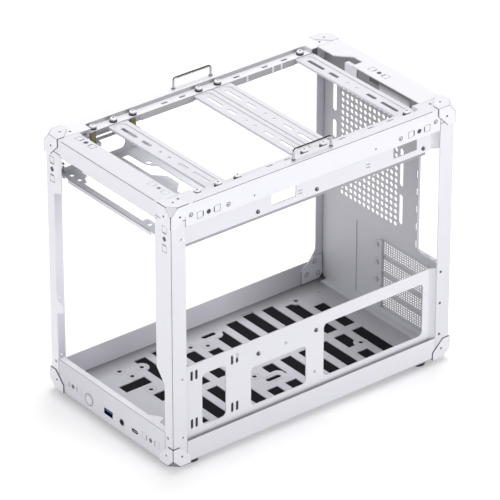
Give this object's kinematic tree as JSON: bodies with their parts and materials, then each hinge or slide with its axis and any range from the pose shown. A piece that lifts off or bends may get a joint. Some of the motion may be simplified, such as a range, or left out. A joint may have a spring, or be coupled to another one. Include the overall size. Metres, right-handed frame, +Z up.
{
  "type": "computer case frame",
  "caption": "White sheet-steel mini-tower computer case frame: open sides, top fan brackets, wire handles, perforated rear panel, cut-out floor and a front port strip with a sprung button.",
  "frame": {"origin": "centre of the bounding box in plan, at the underside of the feet", "axes": "+Z up; -Y is the front with the port strip, +Y the rear panel; +X is the right side, which carries the motherboard plate"},
  "size_m": [0.2026, 0.352, 0.3048],
  "materials": {
    "white_coat": "fine powder coat, satin",
    "chrome_wire": "polished",
    "brass_post": "dull",
    "rubber_black": "matte",
    "filter_mesh": "fine dark mesh",
    "clip_plastic": "matte",
    "button_plastic": "satin",
    "dark_plastic": "matte",
    "board_plastic": "matte",
    "port_steel": "plated",
    "screw_steel": "plated"
  },
  "bodies": {
    "chassis": {"aperture_bar": "white_coat", "audio_jack": "dark_plastic", "bottom_tray": "white_coat", "bracket_screws": "screw_steel", "bracket_washers": "rubber_black", "cap_bottom_front_left": "white_coat", "cap_bottom_front_right": "white_coat", "cap_bottom_rear_left": "white_coat", "cap_bottom_rear_right": "white_coat", "cap_top_front_left": "white_coat", "cap_top_front_right": "white_coat", "cap_top_rear_left": "white_coat", "cap_top_rear_right": "white_coat", "corner_gusset": "white_coat", "dust_filter": "filter_mesh", "fan_bracket_front": "white_coat", "fan_bracket_mid_front": "white_coat", "fan_bracket_mid_rear": "white_coat", "fan_bracket_rear": "white_coat", "foot_front_left": "rubber_black", "foot_front_right": "rubber_black", "foot_rear_left": "rubber_black", "foot_rear_right": "rubber_black", "front_left_pillar": "white_coat", "front_panel": "white_coat", "front_right_pillar": "white_coat", "gusset_screws": "screw_steel", "handle_screws": "screw_steel", "io_board": "board_plastic", "left_handle": "chrome_wire", "motherboard_plate": "white_coat", "motherboard_standoffs": "screw_steel", "motherboard_top_rail": "white_coat", "panel_clips": "clip_plastic", "power_button_housing": "button_plastic", "power_switch": "dark_plastic", "psu_bracket": "white_coat", "psu_bracket_posts": "brass_post", "rear_left_pillar": "white_coat", "rear_panel": "white_coat", "rear_right_pillar": "white_coat", "right_handle": "chrome_wire", "slot_cover_1": "white_coat", "slot_cover_2": "white_coat", "slot_cover_3": "white_coat", "slot_cover_4": "white_coat", "slot_cover_clamp": "white_coat", "slot_cover_screws": "screw_steel", "slot_plate": "white_coat", "top_front_rail": "white_coat", "top_left_rail": "white_coat", "top_rear_rail": "white_coat", "top_right_rail": "white_coat", "usb_a_port": "port_steel", "usb_c_port": "port_steel"},
    "button": {"power_button": "button_plastic"}
  },
  "joints": [
    {"name": "power_button_press", "type": "slide", "parent": "chassis", "child": "button", "axis": [0, 1, 0], "range_m": [0, 0.0012], "stiffness_N_per_m": 900}
  ]
}
